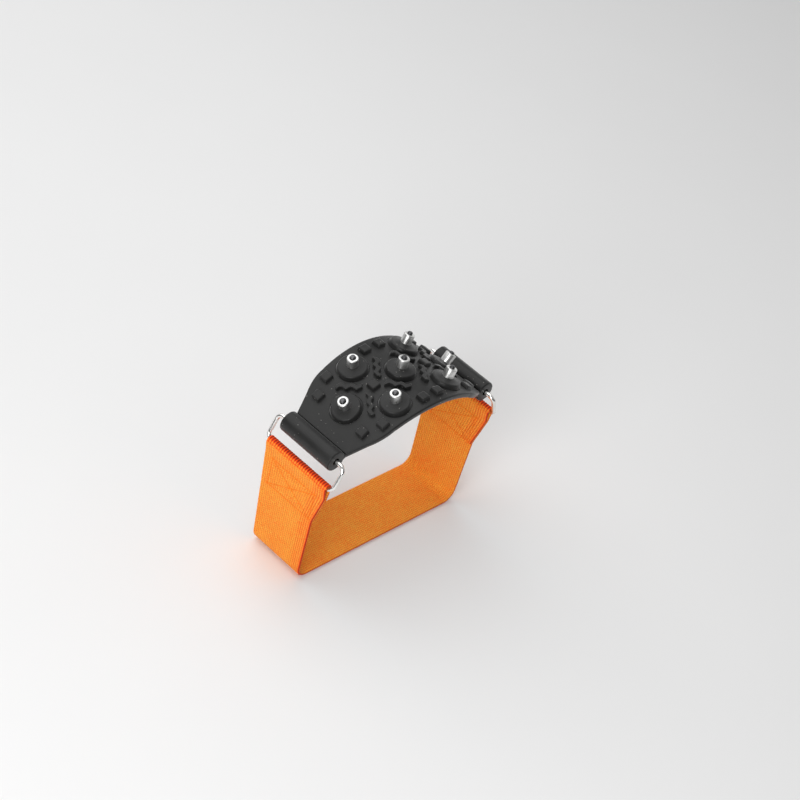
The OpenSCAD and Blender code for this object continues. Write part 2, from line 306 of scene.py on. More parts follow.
def make_weave_group():
    tree = bpy.data.node_groups.new("staggered_stitches", "ShaderNodeTree")
    given, result = group_sockets(
        tree,
        [("Across", FLOAT, 0.0), ("Along", FLOAT, 0.0)],
        [("Height", FLOAT), ("Gap", FLOAT)],
    )
    odd = calc(tree, "FLOOR", calc(tree, "MODULO", given["Across"], 2.0))
    row = calc(tree, "ADD", given["Along"], calc(tree, "MULTIPLY", odd, 0.5))
    squares = []
    for part in (given["Across"], row):
        off = calc(tree, "ABSOLUTE", calc(tree, "SUBTRACT", calc(tree, "FRACT", part), 0.5))
        squares.append(calc(tree, "POWER", calc(tree, "MULTIPLY", off, 2.0), 2.0))
    away = calc(tree, "ADD", *squares)
    round_top = calc(tree, "MAXIMUM", calc(tree, "SUBTRACT", STITCH_CROWN, away), 0.0)
    wire(tree, result["Height"], calc(tree, "SQRT", round_top))
    wire(tree, result["Gap"], spread(tree, away, *STITCH_GAP))
    return tree


weave_group = make_weave_group()

# %% Woven elastic and thread
ELASTIC_DARK = (1.0, 0.20, 0.012, 1)
ELASTIC_LIGHT = (1.0, 0.27, 0.022, 1)
# Painted highlight: where the fine grain runs high, flecks of the weave are drawn light orange, as lit
# fibre tops.
FIBRE_HIGHLIGHT_COLOR = (1.0, 0.54, 0.07, 1)
FIBRE_HIGHLIGHT_SPAN = (0.44, 0.64)
# Painted shade: the gaps between neighbouring stitches are drawn a darker red.
GAP_SHADE_COLOR = (0.70, 0.095, 0.004, 1)
GAP_SHADE_COVER = 0.85
# Painted shade: the strap's groove attribute turns the colour red, then dark red, in the rib valleys, sewn
# rows and seams and over the top of the fold. It also gives a darker red along the toe edge.
SHADE_RED_COLOR = (0.95, 0.055, 0.004, 1)
DEEP_SHADE_COLOR = (0.30, 0.007, 0.001, 1)
SHADE_RED_FULL = 0.6
THREAD_DARK = (0.90, 0.16, 0.0085, 1)
THREAD_LIGHT = (0.99, 0.25, 0.021, 1)


def make_elastic():
    material, tree, shader = start_material(
        "orange_elastic", Roughness=0.85, Specular_IOR_Level=0.2,
        Sheen_Weight=0.25, Sheen_Roughness=0.5, Sheen_Tint=(1.0, 0.55, 0.25, 1))
    place = add(tree, "ShaderNodeUVMap", uv_map="weave").outputs["UV"]
    parts = add(tree, "ShaderNodeSeparateXYZ", {"Vector": place})
    weave = add(tree, "ShaderNodeGroup", node_tree=weave_group)
    wire(tree, weave.inputs["Across"], parts.outputs["X"])
    wire(tree, weave.inputs["Along"], parts.outputs["Y"])
    grain, patches = use_grain(tree, grain_per_metre=2600.0, patches_per_metre=90.0)
    # The groove attribute is painted shade, together with the darker red of the toe edge.
    groove_shade = add(tree, "ShaderNodeAttribute", attribute_name="groove").outputs["Fac"]
    face = mix_colors(tree, spread(tree, patches, *NOISE_SPAN), ELASTIC_DARK, ELASTIC_LIGHT)
    # Painted highlight: light flecks where the grain runs high.
    fibre_highlit = mix_colors(tree, spread(tree, grain, *FIBRE_HIGHLIGHT_SPAN), face, FIBRE_HIGHLIGHT_COLOR)
    # Painted shade in the gaps between the stitches.
    gap = calc(tree, "MULTIPLY", weave.outputs["Gap"], GAP_SHADE_COVER)
    woven = mix_colors(tree, gap, fibre_highlit, GAP_SHADE_COLOR)
    shaded_red = mix_colors(tree, spread(tree, groove_shade, 0.0, SHADE_RED_FULL), woven, SHADE_RED_COLOR)
    deep_shaded = mix_colors(tree, spread(tree, groove_shade, SHADE_RED_FULL, 1.0), shaded_red, DEEP_SHADE_COLOR)
    wire(tree, shader.inputs["Base Color"], deep_shaded)
    rise = calc(tree, "ADD", weave.outputs["Height"], calc(tree, "MULTIPLY", grain, 0.5))
    bump(tree, shader, rise, distance=0.3 * MM, strength=0.7)
    return material


def make_thread():
    material, tree, shader = start_material("orange_thread", Roughness=0.9, Specular_IOR_Level=0.2)
    grain = use_grain(tree, grain_per_metre=4000.0, patches_per_metre=150.0)[0]
    color = mix_colors(tree, spread(tree, grain, *NOISE_SPAN), THREAD_DARK, THREAD_LIGHT)
    wire(tree, shader.inputs["Base Color"], color)
    bump(tree, shader, grain, distance=0.1 * MM, strength=0.6)
    return material


elastic = make_elastic()
thread = make_thread()
print("materials:", [m.name for m in (rubber, nickel, steel, carbide, elastic, thread)])

# %% [markdown]
# ## Helpers for meshes
# Most pieces are skins over a stack of outlines: a lathe stacks circles, a lug stacks squares, and
# the pad stacks its cross-section along the bend. One helper joins such a stack and caps its ends.
# Another turns what modifiers make into a plain mesh, so that no modifier is left on a piece.

# %% Outlines and skins
CORNERS = ((1, 1, 0), (-1, 1, 1), (-1, -1, 2), (1, -1, 3))


def circle(radius, height, count):
    turn = 2 * math.pi / count
    return [(radius * math.cos(i * turn), radius * math.sin(i * turn), height) for i in range(count)]


def quarter_turn(quarter, steps):
    """Angles through one quarter of a turn, with both its ends."""
    return [quarter * math.pi / 2 + math.pi / 2 * i / steps for i in range(steps + 1)]


def rounded(x, y, radius, quarter, steps):
    """Points of a rounded corner about its middle, through one quarter of a turn."""
    return [(x + radius * math.cos(a), y + radius * math.sin(a)) for a in quarter_turn(quarter, steps)]


def skin(rings, cap=True):
    """Points and faces of a skin over outlines that all have the same count of points."""
    count = len(rings[0])
    points = [tuple(p) for ring in rings for p in ring]
    faces = []
    for r in range(len(rings) - 1):
        for i in range(count):
            j = (i + 1) % count
            faces.append((r * count + i, r * count + j, (r + 1) * count + j, (r + 1) * count + i))
    if cap:
        faces.append(tuple(reversed(range(count))))
        faces.append(tuple(range((len(rings) - 1) * count, len(rings) * count)))
    return points, faces


def loop_skin(rings):
    """A skin whose last outline joins the first."""
    points, faces = skin(rings + [rings[0]], cap=False)
    count = len(points) - len(rings[0])
    return points[:count], [tuple(i % count for i in face) for face in faces]


def lathe(profile, segments):
    return skin([circle(radius, height, segments) for radius, height in profile])


# %% Objects and modifiers
def turn_outwards(mesh):
    """A closed skin whose faces look inwards has a negative volume, and booleans would misread it."""
    shape = bmesh.new()
    shape.from_mesh(mesh)
    if shape.calc_volume(signed=True) < 0:
        mesh.flip_normals()
    shape.free()


def make_object(name, points, faces, edges=()):
    mesh = bpy.data.meshes.new(name)
    mesh.from_pydata(points, edges, faces)
    mesh.validate()
    turn_outwards(mesh)
    piece = bpy.data.objects.new(name, mesh)
    scene.collection.objects.link(piece)
    return piece


def make_plain(piece):
    """Turns the evaluated piece into a plain mesh and drops its modifiers."""
    graph = bpy.context.evaluated_depsgraph_get()
    mesh = bpy.data.meshes.new_from_object(piece.evaluated_get(graph), depsgraph=graph)
    old = piece.data
    piece.modifiers.clear()
    piece.data = mesh
    bpy.data.meshes.remove(old)
    return piece


def drop(piece):
    mesh = piece.data
    bpy.data.objects.remove(piece)
    bpy.data.meshes.remove(mesh)


def combine(piece, other, operation):
    """Boolean of two closed pieces, which uses up the other one."""
    step = piece.modifiers.new(operation.lower(), "BOOLEAN")
    step.operation = operation
    step.solver = "MANIFOLD"
    step.object = other
    make_plain(piece)
    drop(other)


def smooth(piece, angle):
    """Smooth shading, with edges sharper than the angle kept crisp."""
    mesh = piece.data
    mesh.polygons.foreach_set("use_smooth", [True] * len(mesh.polygons))
    mesh.set_sharp_from_angle(angle=math.radians(angle))


# %% [markdown]
# ## The bend
# The pad is moulded as if flat and bends over the instep: an arc in the middle and a straight flank
# on each side. A geometry node group holds that rule. It reads a flat layout, X across the pad and
# Y along its run, and moves every point to the bent face, so whatever is laid out flat lands right.

# %% Geometry group: the bend
GEOMETRY = "NodeSocketGeometry"
BEND_R = 66 * MM
BEND_ANGLE = math.radians(34.5)


def start_tree(name, *inputs):
    """A tree that takes and gives geometry, with its other inputs as (name, type, default)."""
    tree = bpy.data.node_groups.new(name, "GeometryNodeTree")
    sockets = [("Geometry", GEOMETRY, None), *inputs]
    given, result = group_sockets(tree, sockets, [("Geometry", GEOMETRY)])
    return tree, given, result["Geometry"]


def make_bend_group():
    tree, given, result = start_tree(
        "bend_over_instep", ("Bend Radius", FLOAT, BEND_R), ("Bend Angle", FLOAT, BEND_ANGLE),
        ("Face Height", FLOAT, PAD_TOP))
    place = add(tree, "GeometryNodeInputPosition").outputs[0]
    parts = add(tree, "ShaderNodeSeparateXYZ", {0: place}).outputs
    radius = given["Bend Radius"]
    limit = given["Bend Angle"]
    slope = add(tree, "ShaderNodeClamp", {
        "Value": calc(tree, "DIVIDE", parts["Y"], radius),
        "Min": calc(tree, "MULTIPLY", limit, -1.0),
        "Max": limit,
    }).outputs[0]
    flank = calc(tree, "SUBTRACT", parts["Y"], calc(tree, "MULTIPLY", slope, radius))
    sine = calc(tree, "SINE", slope)
    cosine = calc(tree, "COSINE", slope)
    out = calc(tree, "ADD", radius, parts["Z"])
    y = calc(tree, "ADD", calc(tree, "MULTIPLY", out, sine), calc(tree, "MULTIPLY", flank, cosine))
    fall = calc(tree, "SUBTRACT", calc(tree, "MULTIPLY", out, cosine), calc(tree, "MULTIPLY", flank, sine))
    z = calc(tree, "ADD", calc(tree, "SUBTRACT", given["Face Height"], radius), fall)
    bent = add(tree, "ShaderNodeCombineXYZ", {0: parts["X"], 1: y, 2: z}).outputs[0]
    moved = add(tree, "GeometryNodeSetPosition", {"Geometry": given["Geometry"], "Position": bent})
    wire(tree, result, moved.outputs[0])
    return tree


bend_group = make_bend_group()

# %% Run a geometry tree on a piece
def socket_id(tree, name):
    """The identifier by which a modifier knows one of the tree's inputs."""
    return next(s.identifier for s in tree.interface.items_tree
                if s.item_type == "SOCKET" and s.in_out == "INPUT" and s.name == name)


def run_tree(piece, tree, inputs):
    """Runs the tree with its named inputs set, and makes the result plain."""
    step = piece.modifiers.new(tree.name, "NODES")
    step.node_group = tree
    for name, value in inputs.items():
        step[socket_id(tree, name)] = value
    make_plain(piece)


def paint(tree, geometry, material, result):
    """Ends a tree: its geometry gets its material and goes out."""
    painted = add(tree, "GeometryNodeSetMaterial", {"Geometry": geometry, "Material": material})
    wire(tree, result, painted.outputs[0])


def use_bend(tree, geometry, radius):
    node = add(tree, "GeometryNodeGroup", node_tree=bend_group)
    wire(tree, node.inputs["Geometry"], geometry)
    wire(tree, node.inputs["Bend Radius"], radius)
    return node.outputs["Geometry"]


def set_on_points(tree, points, piece, rotation):
    """The piece on every point, as real geometry."""
    shape = add(tree, "GeometryNodeObjectInfo", {"Object": piece}).outputs["Geometry"]
    placed = add(tree, "GeometryNodeInstanceOnPoints", {
        "Points": points, "Instance": shape, "Rotation": rotation})
    return add(tree, "GeometryNodeRealizeInstances", {"Geometry": placed.outputs[0]}).outputs[0]


def bend(piece, material):
    """Bends a flat piece and gives it its material."""
    tree, given, result = start_tree("bend_" + piece.name, ("Bend Radius", FLOAT, BEND_R))
    paint(tree, use_bend(tree, given["Geometry"], given["Bend Radius"]), material, result)
    run_tree(piece, tree, {"Bend Radius": BEND_R})


# %% [markdown]
# ## Pad sheet
# In plan the sheet is broad over the instep, rounds off at four shoulders and runs into a narrow neck
# at each sleeve. A lofted skin suits it: at each station along the run stands the same rounded
# section, scaled to the half width that the plan gives there. Its rim is rounded as moulded rubber is.

# %% Plan of the pad
PAD_W = 57 * MM
EDGE_R = 330 * MM
SHOULDER_R = 24 * MM
SHOULDER_Y = 29.3 * MM
NECK_HALF = 18.3 * MM
NECK_RUN = 58 * MM
NECK_BITE = math.radians(6)


def face_y(run):
    slope = max(-BEND_ANGLE, min(BEND_ANGLE, run / BEND_R))
    return BEND_R * math.sin(slope) + (run - slope * BEND_R) * math.cos(slope)


def neck_line():
    """Where the neck's straight side leaves the shoulder, and where it meets the sleeve's length."""
    shoulder_x = PAD_W / 2 - EDGE_R + math.sqrt((EDGE_R - SHOULDER_R) ** 2 - SHOULDER_Y ** 2)
    end = (NECK_HALF, face_y(NECK_RUN))
    to_end = (end[0] - shoulder_x, end[1] - SHOULDER_Y)
    angle = math.atan2(to_end[1], to_end[0]) - math.acos(SHOULDER_R / math.hypot(*to_end)) + NECK_BITE
    start = (shoulder_x + SHOULDER_R * math.cos(angle), SHOULDER_Y + SHOULDER_R * math.sin(angle))
    return shoulder_x, start, end


def half_width(run):
    y = abs(face_y(run))
    shoulder_x, (start_x, start_y), (end_x, end_y) = neck_line()
    edge = PAD_W / 2 - EDGE_R + math.sqrt(EDGE_R ** 2 - y ** 2)
    if y <= SHOULDER_Y:
        return edge
    if y <= start_y:
        return min(edge, shoulder_x + math.sqrt(SHOULDER_R ** 2 - (y - SHOULDER_Y) ** 2))
    part = min(1, (y - start_y) / (end_y - start_y))
    return start_x + (end_x - start_x) * part


# %% Pad sheet
PAD_T = 3.2 * MM
SHEET_ROUND = 0.8 * MM
SLEEVE_RUN = 63.5 * MM
STATION = 1.1 * MM
ACROSS_STEPS = 44
ROUND_STEPS = 4


def sheet_section(run):
    half = half_width(run) - SHEET_ROUND
    low = -PAD_T + SHEET_ROUND
    high = -SHEET_ROUND
    across = [half * (2 * i / ACROSS_STEPS - 1) for i in range(1, ACROSS_STEPS)]
    points = []
    for x, z, quarter in ((half, high, 0), (-half, high, 1), (-half, low, 2), (half, low, 3)):
        points += [(px, run, pz) for px, pz in rounded(x, z, SHEET_ROUND, quarter, ROUND_STEPS)]
        if quarter == 0:
            points += [(-px, run, 0) for px in across]
        if quarter == 2:
            points += [(px, run, -PAD_T) for px in across]
    return points


stations = round(2 * SLEEVE_RUN / STATION)
runs = [(2 * i / stations - 1) * SLEEVE_RUN for i in range(stations + 1)]
pad = make_object("rubber_pad", *skin([sheet_section(run) for run in runs]))
bend(pad, rubber)
print("pad sheet:", len(pad.data.polygons), "faces,", stations, "stations")

# %% [markdown]
# ## Sleeves
# Across each end of the pad lies a thick tube of rubber, open at both ends, in which the ring turns.
# It is a lathe along X, from one rounded lip to the other, joined to the sheet. The bore is cut last.
# A thin rod takes out the crease where the tube meets the sheet, which shows as a dark line.

# %% Sleeves
SLEEVE_RISE = 1.2 * MM
SLEEVE_R = 5.9 * MM
SLEEVE_LIP = 0.7 * MM
SLEEVE_HALF = 18.3 * MM
SLEEVE_SEGMENTS = 64
TUBE_STEPS = 20
NEAR = -1
FAR = 1
ENDS = (NEAR, FAR)
sleeve_y = face_y(SLEEVE_RUN) + SLEEVE_RISE * math.sin(BEND_ANGLE)
sleeve_z = (PAD_TOP - BEND_R * (1 - math.cos(BEND_ANGLE))
            - (SLEEVE_RUN - BEND_R * BEND_ANGLE) * math.sin(BEND_ANGLE)
            + SLEEVE_RISE * math.cos(BEND_ANGLE))


def make_tube(name, radius, half, lip, y, z):
    """A rod along X, as circles from one rounded lip to the other."""
    lip_line = rounded(half - lip, radius - lip, lip, 0, ROUND_STEPS)
    profile = [(-x, wide) for x, wide in lip_line]
    profile += [(half * (2 * i / TUBE_STEPS - 1), radius) for i in range(2, TUBE_STEPS - 1)]
    profile += reversed(lip_line)
    rings = []
    for x, wide in profile:
        rings.append([(x, y + a, z + b) for a, b, _ in circle(wide, 0, SLEEVE_SEGMENTS)])
    return make_object(name, *skin(rings))


for end in ENDS:
    tube = make_tube("sleeve", SLEEVE_R, SLEEVE_HALF, SLEEVE_LIP, end * sleeve_y, sleeve_z)
    combine(pad, tube, "UNION")
print("sleeve axis: y +-%.2f mm, z %.2f mm" % (sleeve_y / MM, sleeve_z / MM))

# %% [markdown]
# ## Bosses, lugs and ridges
# Seven round bosses carry the studs, square lugs stand along the edges, and a short wavy ridge lies
# between each two neighbouring bosses. One block of each kind is modelled flat. A geometry tree then
# sets it on every point of a layout, turns it, and bends the whole set, so the pattern is edited as
# points and the block as one mesh. A shallow moat round each boss is cut with the same tree.

# %% One boss and one moat
WELD = 0.8 * MM
STUD_R = 3.1 * MM
BOSS_R = 8.7 * MM
BOSS_WALL = 2.5 * MM
BOSS_CROWN = 0.8 * MM
BOSS_H = BOSS_WALL + BOSS_CROWN
BOSS_DRAFT = 0.6 * MM
BOSS_ROUND = 1.0 * MM
BOSS_FOOT = 0.2 * MM
BOSS_INSIDE = 0.5 * MM
BOSS_ROUND_STEPS = 5
CROWN_STEPS = 10
CROWN_CURVE = 1.5
BOSS_SEGMENTS = 72
MOAT_W = 0.3 * MM
MOAT_DEEP = 0.35 * MM
MOAT_TOP = 1.5 * MM
MOAT_INSIDE = BOSS_R - 0.4 * MM
MOAT_SIDE = [(0.35, -MOAT_DEEP), (0.8, -0.15 * MM), (1.15, 0.02 * MM), (1.3, MOAT_TOP)]


def boss_profile():
    edge = BOSS_R - BOSS_DRAFT
    start = edge - BOSS_ROUND
    shoulder = BOSS_WALL - BOSS_ROUND
    profile = [(BOSS_R, -WELD), (BOSS_R, BOSS_FOOT), (edge, shoulder)]
    profile += rounded(start, shoulder, BOSS_ROUND, 0, BOSS_ROUND_STEPS)[1:]
    for i in range(1, CROWN_STEPS + 1):
        part = i / CROWN_STEPS
        profile.append((start + (STUD_R - start) * part, BOSS_WALL + BOSS_CROWN * part ** CROWN_CURVE))
    profile.append((STUD_R - BOSS_INSIDE, BOSS_H))
    return profile


def moat():
    """The cutter for a shallow groove round a boss, closed on itself."""
    profile = [(MOAT_INSIDE, -MOAT_DEEP)]
    profile += [(BOSS_R + out * MOAT_W, height) for out, height in MOAT_SIDE]
    profile += [(MOAT_INSIDE, MOAT_TOP)]
    turn = 2 * math.pi / BOSS_SEGMENTS
    rings = []
    for i in range(BOSS_SEGMENTS):
        rings.append([(r * math.cos(i * turn), r * math.sin(i * turn), h) for r, h in profile])
    return loop_skin(rings)


# %% One lug and one ridge
LUG_W = 5.6 * MM
LUG_H = 2.2 * MM
LUG_CORNER = 0.35 * MM
LUG_CORNER_STEPS = 3
LUG_STEPS = [
    (0, -WELD), (0, 0), (0.25 * MM, LUG_H - 0.35 * MM), (0.38 * MM, LUG_H - 0.15 * MM),
    (0.85 * MM, LUG_H), (1.15 * MM, LUG_H),
]
RIDGE_LEN = 14 * MM
RIDGE_W = 2.9 * MM
RIDGE_H = 2.0 * MM
RIDGE_SWING = 0.7 * MM
RIDGE_PITCH = 5.4 * MM
RIDGE_END = 0.75
RIDGE_STATIONS = 30
RIDGE_STEPS = [
    (0, -WELD), (0, 0), (0.1 * MM, RIDGE_H - 0.35 * MM), (0.2 * MM, RIDGE_H - 0.15 * MM),
    (0.5 * MM, RIDGE_H), (0.7 * MM, RIDGE_H),
]


def lug():
    rings = []
    for inset, height in LUG_STEPS:
        half = LUG_W / 2 - inset - LUG_CORNER
        ring = []
        for sx, sy, quarter in CORNERS:
            ring += rounded(sx * half, sy * half, LUG_CORNER, quarter, LUG_CORNER_STEPS)
        rings.append([(x, y, height) for x, y in ring])
    return skin(rings)


def ridge():
    ends = [RIDGE_END if i in (0, RIDGE_STATIONS) else 1 for i in range(RIDGE_STATIONS + 1)]
    rings = []
    for inset, height in RIDGE_STEPS:
        half = RIDGE_LEN / 2 - inset
        wide = RIDGE_W / 2 - inset
        line = [(2 * i / RIDGE_STATIONS - 1) * half for i in range(RIDGE_STATIONS + 1)]
        swing = [RIDGE_SWING * math.sin(2 * math.pi * x / RIDGE_PITCH) for x in line]
        lower = [(x, s - wide * e, height) for x, s, e in zip(line, swing, ends)]
        upper = [(x, s + wide * e, height) for x, s, e in zip(line, swing, ends)]
        rings.append(lower + upper[::-1])
    return skin(rings)


# %% Geometry tree: lay a block on the bent face
OBJECT = "NodeSocketObject"


def make_tread_tree():
    tree, given, result = start_tree("lay_tread", ("Block", OBJECT, None), ("Bend Radius", FLOAT, BEND_R))
    turn = add(tree, "GeometryNodeInputNamedAttribute", {"Name": "turn"}, data_type="FLOAT").outputs[0]
    around = add(tree, "ShaderNodeCombineXYZ", {2: turn}).outputs[0]
    solid = set_on_points(tree, given["Geometry"], given["Block"], around)
    paint(tree, use_bend(tree, solid, given["Bend Radius"]), rubber, result)
    return tree


tread_tree = make_tread_tree()


def lay(name, shape, layout):
    """Blocks on every (x, run, turn) of the layout, bent and made plain."""
    block = make_object(name + "_block", *shape)
    piece = make_object(name, [(x, run, 0) for x, run, _ in layout], [])
    turns = piece.data.attributes.new("turn", "FLOAT", "POINT")
    turns.data.foreach_set("value", [turn for _, _, turn in layout])
    run_tree(piece, tread_tree, {"Block": block, "Bend Radius": BEND_R})
    drop(block)
    print("%s: %d blocks, %d faces" % (name, len(layout), len(piece.data.polygons)))
    return piece


# %% Lay out the tread and join it to the pad
ROW_STEP = 19.5 * MM
PAIR_X = 16 * MM
LUG_EDGE = 6.5 * MM
LUG_ROWS = [(5.3 * MM, 0), (33 * MM, 0.7 * MM), (43.3 * MM, 5.5 * MM)]
RIDGE_ROWS = [(1, 1), (3, -1)]
SIDES = (-1, 1)
ridge_turn = math.atan2(ROW_STEP, PAIR_X) - math.pi / 2
stud_places = [
    (-PAIR_X, -ROW_STEP), (0, 0), (0, -2 * ROW_STEP), (PAIR_X, -ROW_STEP),
    (-PAIR_X, ROW_STEP), (0, 2 * ROW_STEP), (PAIR_X, ROW_STEP),
]
boss_layout = [(x, run, 0) for x, run in stud_places]
lug_layout = [(side * (PAD_W / 2 - LUG_EDGE - drawn), end * run, 0)
              for side in SIDES for end in ENDS for run, drawn in LUG_ROWS]
lug_layout += [(0, end * ROW_STEP, 0) for end in ENDS]
ridge_layout = [(side * PAIR_X / 2, end * row * ROW_STEP / 2, side * end * lean * ridge_turn)
                for side in SIDES for end in ENDS for row, lean in RIDGE_ROWS]
combine(pad, lay("moats", moat(), boss_layout), "DIFFERENCE")
combine(pad, lay("bosses", lathe(boss_profile(), BOSS_SEGMENTS), boss_layout), "UNION")
combine(pad, lay("lugs", lug(), lug_layout), "UNION")
combine(pad, lay("ridges", ridge(), ridge_layout), "UNION")

# %% [markdown]
# ## Studs and pins
# Each stud is a turned steel jacket, with a flange let into the back of the pad and a countersunk
# seat at its tip, in which a carbide pin stands. A second geometry tree keeps them rigid: it bends
# only the seven points and turns each stud to the face's slope there.

# %% Turned profiles of the stud and the pin
STUD_TOP = BOSS_H + 5.3 * MM
STUD_CHAMFER = 0.5 * MM
CHAMFER_LINE = [(0, 1), (0.12, 0.55), (0.45, 0.15), (1, 0)]
FLANGE_R = 6 * MM
FLANGE_T = 1.2 * MM
FLANGE_SOFT = 0.12 * MM
PIN_R = 1.4 * MM
PIN_OUT = 1.3 * MM
PIN_DEEP = 4 * MM
PIN_ROUND = 0.7 * MM
PIN_ROUND_STEPS = 6
PIN_LIFT = 0.01 * MM
PRESS_GAP = 0.03 * MM
SEAT_RIM = 0.5 * MM
SEAT_DEEP = 0.5 * MM
HOLE_PAST = 1 * MM
STUD_SEGMENTS = 48
flange_top = FLANGE_T - PAD_T
pin_shoulder = STUD_TOP + PIN_OUT - PIN_ROUND
stud_profile = [
    (FLANGE_R - FLANGE_SOFT, -PAD_T), (FLANGE_R, -PAD_T + FLANGE_SOFT), (FLANGE_R, flange_top),
    (STUD_R, flange_top), (STUD_R, BOSS_H),
    *[(STUD_R - a * STUD_CHAMFER, STUD_TOP - b * STUD_CHAMFER) for a, b in CHAMFER_LINE],
    (PIN_R + SEAT_RIM, STUD_TOP), (PIN_R + PRESS_GAP, STUD_TOP - SEAT_DEEP),
    (PIN_R + PRESS_GAP, STUD_TOP - PIN_DEEP),
]
pin_profile = [(PIN_R, STUD_TOP - PIN_DEEP + PIN_LIFT), (PIN_R, pin_shoulder)]
pin_profile += rounded(PIN_R - PIN_ROUND, pin_shoulder, PIN_ROUND, 0, PIN_ROUND_STEPS)[1:]
hole_profile = [
    (FLANGE_R + PRESS_GAP, -PAD_T - HOLE_PAST), (FLANGE_R + PRESS_GAP, flange_top),
    (STUD_R + PRESS_GAP, flange_top), (STUD_R + PRESS_GAP, BOSS_H + HOLE_PAST),
]
print("stud and pin stand %.1f mm above the boss" % ((STUD_TOP + PIN_OUT - BOSS_H) / MM))

# %% Geometry tree: stand rigid pieces on the bent face
def make_stand_tree(name, material):
    tree, given, result = start_tree(name, ("Turned Piece", OBJECT, None), ("Bend Radius", FLOAT, BEND_R))
    place = add(tree, "GeometryNodeInputPosition").outputs[0]
    run = add(tree, "ShaderNodeSeparateXYZ", {0: place}).outputs["Y"]
    turned_by = calc(tree, "DIVIDE", run, given["Bend Radius"])
    slope = add(tree, "ShaderNodeClamp", {"Value": turned_by, "Min": -BEND_ANGLE, "Max": BEND_ANGLE})
    kept = add(tree, "GeometryNodeStoreNamedAttribute", {
        "Geometry": given["Geometry"], "Name": "slope", "Value": slope.outputs[0]},
        data_type="FLOAT", domain="POINT")
    bent = use_bend(tree, kept.outputs[0], given["Bend Radius"])
    lean = add(tree, "GeometryNodeInputNamedAttribute", {"Name": "slope"}, data_type="FLOAT").outputs[0]
    turned = add(tree, "ShaderNodeCombineXYZ", {0: calc(tree, "MULTIPLY", lean, -1.0)}).outputs[0]
    paint(tree, set_on_points(tree, bent, given["Turned Piece"], turned), material, result)
    return tree


def stand(name, profile, material):
    """One turned piece on every stud's place, square to the bent face."""
    shape = make_object(name + "_shape", *lathe(profile, STUD_SEGMENTS))
    piece = make_object(name, [(x, run, 0) for x, run in stud_places], [])
    tree = make_stand_tree("stand_" + name, material)
    run_tree(piece, tree, {"Turned Piece": shape, "Bend Radius": BEND_R})
    drop(shape)
    print("%s: %d faces" % (name, len(piece.data.polygons)))
    return piece


# %% Cut the pad's holes, bores and creases, and set the studs
SLEEVE_BORE_R = 2.1 * MM
BORE_PAST = 1 * MM
CREASE_R = 0.6 * MM
CREASE_PAST = 3 * MM
CREASE_BESIDE = 0.2 * MM
CUT_LIP = 0.1 * MM
crease_run = SLEEVE_RUN - SLEEVE_R - CREASE_BESIDE
crease_y = face_y(crease_run)
crease_rise = (SLEEVE_RUN - crease_run) * math.sin(BEND_ANGLE)
crease_z = sleeve_z - SLEEVE_RISE * math.cos(BEND_ANGLE) + crease_rise
combine(pad, stand("stud_holes", hole_profile, rubber), "DIFFERENCE")
for end in ENDS:
    bore = make_tube("bore", SLEEVE_BORE_R, SLEEVE_HALF + BORE_PAST, CUT_LIP, end * sleeve_y, sleeve_z)
    combine(pad, bore, "DIFFERENCE")
    rod = make_tube("crease", CREASE_R, SLEEVE_HALF + CREASE_PAST, CUT_LIP, end * crease_y, crease_z)
    combine(pad, rod, "DIFFERENCE")
smooth(pad, angle=38)
studs = stand("studs", stud_profile, steel)
smooth(studs, angle=40)
pins = stand("carbide_pins", pin_profile, carbide)
smooth(pins, angle=40)
print("pad:", len(pad.data.polygons), "faces after joining")

# %% [markdown]
# ## Rings
# A ring is one length of wire bent to a rounded rectangle: the upper bar turns in the pad's sleeve,
# the lower one in the strap's fold. A round section is carried along the bent path, which gives an
# even wire without pinched corners.

# %% Rings
WIRE_R = 1.25 * MM
RING_LINK = 14.5 * MM
RING_LEAN = math.radians(22)
RING_X = 24.75 * MM
RING_CORNER = 3.5 * MM
WIRE_SIDES = 20
RING_CORNER_STEPS = 10
bar_y = sleeve_y + RING_LINK * math.sin(RING_LEAN)
bar_z = sleeve_z - RING_LINK * math.cos(RING_LEAN)


def ring_path():
    """Points and outward directions of the wire's middle line, in X and height above the lower bar."""
    path = []
    for cx, cz, quarter in CORNERS:
        x = cx * (RING_X - RING_CORNER)
        z = RING_LINK / 2 + cz * (RING_LINK / 2 - RING_CORNER)
        for angle in quarter_turn(quarter, RING_CORNER_STEPS):
            path.append((x + RING_CORNER * math.cos(angle), z + RING_CORNER * math.sin(angle), angle))
    return path


def make_ring(name, end):
    lean = end * RING_LEAN
    rings = []
    for x, z, angle in ring_path():
        section = []
        for out, y, _ in circle(WIRE_R, 0, WIRE_SIDES):
            px = x + out * math.cos(angle)
            pz = z + out * math.sin(angle)
            section.append((px, end * bar_y + y * math.cos(lean) - pz * math.sin(lean),
                            bar_z + y * math.sin(lean) + pz * math.cos(lean)))
        rings.append(section)
    piece = make_object(name, *loop_skin(rings))
    piece.data.materials.append(nickel)
    smooth(piece, angle=60)
    return piece


near_wire = make_ring("near_wire_ring", NEAR)
far_wire = make_ring("far_wire_ring", FAR)
print("strap bar: y +-%.2f mm, z %.2f mm" % (bar_y / MM, bar_z / MM))

# %% [markdown]
# ## Strap
# The strap is one band of woven elastic. From a hem inside the near end it climbs to the near ring,
# folds over it, drops to the ground, passes under the foot and climbs to the far ring. It is made as
# a band along that line, drawn thin where it goes round a wire, with its cords as real ridges where
# the fold draws them apart, and slight grooves where the sewing pulls the two layers together. Cloth
# simulation would lose such detail.

